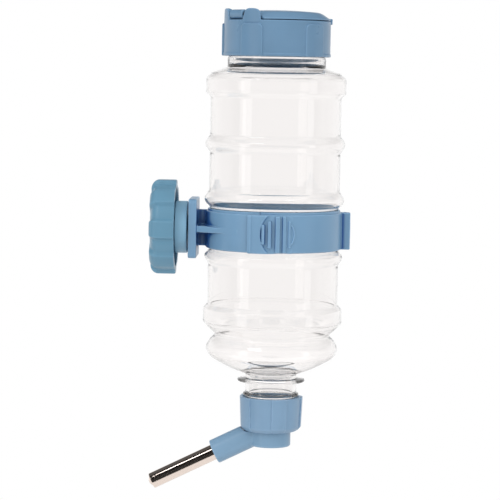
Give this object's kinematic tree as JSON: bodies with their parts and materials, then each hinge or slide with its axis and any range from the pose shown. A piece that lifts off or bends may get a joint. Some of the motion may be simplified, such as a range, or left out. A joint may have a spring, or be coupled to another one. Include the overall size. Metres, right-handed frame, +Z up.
{
  "type": "rabbit water bottle",
  "caption": "Clear hanging drinking bottle for a cage, with a flip-lid screw cap, a latching ring on a screw clamp and an angled steel ball-valve nozzle.",
  "frame": {"origin": "on the clamping face of the holder's plate, on the axis of the clamp stud", "axes": "+Z up along the bottle, -X out through the cage towards the clamp knob, +X towards the bottle, -Y towards the ring's thumb pad"},
  "size_m": [0.0999, 0.0715, 0.2423],
  "materials": {
    "clear_pet": "clear blown PET",
    "cap_plastic": "satin moulded, grey blue",
    "holder_plastic": "satin moulded, light blue",
    "knob_plastic": "satin moulded, blue with a touch of green",
    "nozzle_plastic": "satin moulded, pale blue",
    "silicone": "translucent white silicone",
    "zinc_steel": "zinc plated",
    "polished_steel": "polished stainless steel"
  },
  "bodies": {
    "holder": {"bottle_holder": "holder_plastic", "clamp_stud": "zinc_steel", "gate_hinge_pin": "zinc_steel"},
    "gate": {"ring_gate": "holder_plastic"},
    "jaw": {"clamp_washer": "knob_plastic"},
    "knob": {"clamp_knob": "knob_plastic", "knob_nut": "zinc_steel"},
    "bottle": {"bottle_body": "clear_pet"},
    "cap_seat": {"fill_cap_gasket": "silicone"},
    "cap": {"fill_cap": "cap_plastic", "lid_hinge_pin": "zinc_steel"},
    "lid": {"flip_lid": "cap_plastic", "lid_seal": "silicone"},
    "outlet_seat": {"outlet_gasket": "silicone"},
    "outlet_nut": {"outlet_nut": "nozzle_plastic"},
    "nozzle": {"nozzle_elbow": "nozzle_plastic", "tube_seal": "silicone", "spout_tube": "polished_steel"},
    "tip_ball": {"tip_ball": "polished_steel"},
    "upper_ball": {"upper_ball": "polished_steel"}
  },
  "joints": [
    {"name": "gate_hinge", "type": "hinge", "parent": "holder", "child": "gate", "pos_m": [0.0785, 0.0012, 0], "axis": [0, 0, 1], "range_deg": [0, 100]},
    {"name": "jaw_slide", "type": "slide", "parent": "holder", "child": "jaw", "axis": [-1, 0, 0], "range_m": [-0.0006, 0.006]},
    {"name": "knob_turn", "type": "hinge", "parent": "jaw", "child": "knob", "pos_m": [0, 0, 0], "axis": [-1, 0, 0], "range_deg": [-60, 720]},
    {"name": "bottle_turn", "type": "hinge", "parent": "holder", "child": "bottle", "pos_m": [0.0423, 0, 0], "axis": [0, 0, 1], "continuous": true},
    {"name": "cap_lift", "type": "slide", "parent": "bottle", "child": "cap_seat", "axis": [0, 0, 1], "range_m": [0, 0.006]},
    {"name": "cap_turn", "type": "hinge", "parent": "cap_seat", "child": "cap", "pos_m": [0.0423, 0, 0.095], "axis": [0, 0, 1], "range_deg": [0, 540]},
    {"name": "lid_hinge", "type": "hinge", "parent": "cap", "child": "lid", "pos_m": [0.02352, -0.01494, 0.1066], "axis": [0.6225, -0.7826, 0], "range_deg": [0, 120]},
    {"name": "outlet_drop", "type": "slide", "parent": "bottle", "child": "outlet_seat", "axis": [0, 0, -1], "range_m": [0, 0.006]},
    {"name": "nut_turn", "type": "hinge", "parent": "outlet_seat", "child": "outlet_nut", "pos_m": [0.0423, 0, -0.0935], "axis": [0, 0, -1], "range_deg": [0, 720]},
    {"name": "nozzle_swivel", "type": "hinge", "parent": "outlet_seat", "child": "nozzle", "pos_m": [0.0423, 0, -0.0985], "axis": [0, 0, 1], "continuous": true},
    {"name": "tip_ball_lift", "type": "slide", "parent": "nozzle", "child": "tip_ball", "axis": [0.8957, 0, 0.4446], "range_m": [0, 0.0012]},
    {"name": "upper_ball_lift", "type": "slide", "parent": "nozzle", "child": "upper_ball", "axis": [0.8957, 0, 0.4446], "range_m": [0, 0.0012]}
  ],
  "couplings": [
    {"joint": "jaw_slide", "follows": "knob_turn", "m_per_rad": 0.00047746},
    {"joint": "cap_lift", "follows": "cap_turn", "m_per_rad": 0.00063662},
    {"joint": "outlet_drop", "follows": "nut_turn", "m_per_rad": 0.00047746},
    {"joint": "upper_ball_lift", "follows": "tip_ball_lift", "ratio": 1}
  ]
}
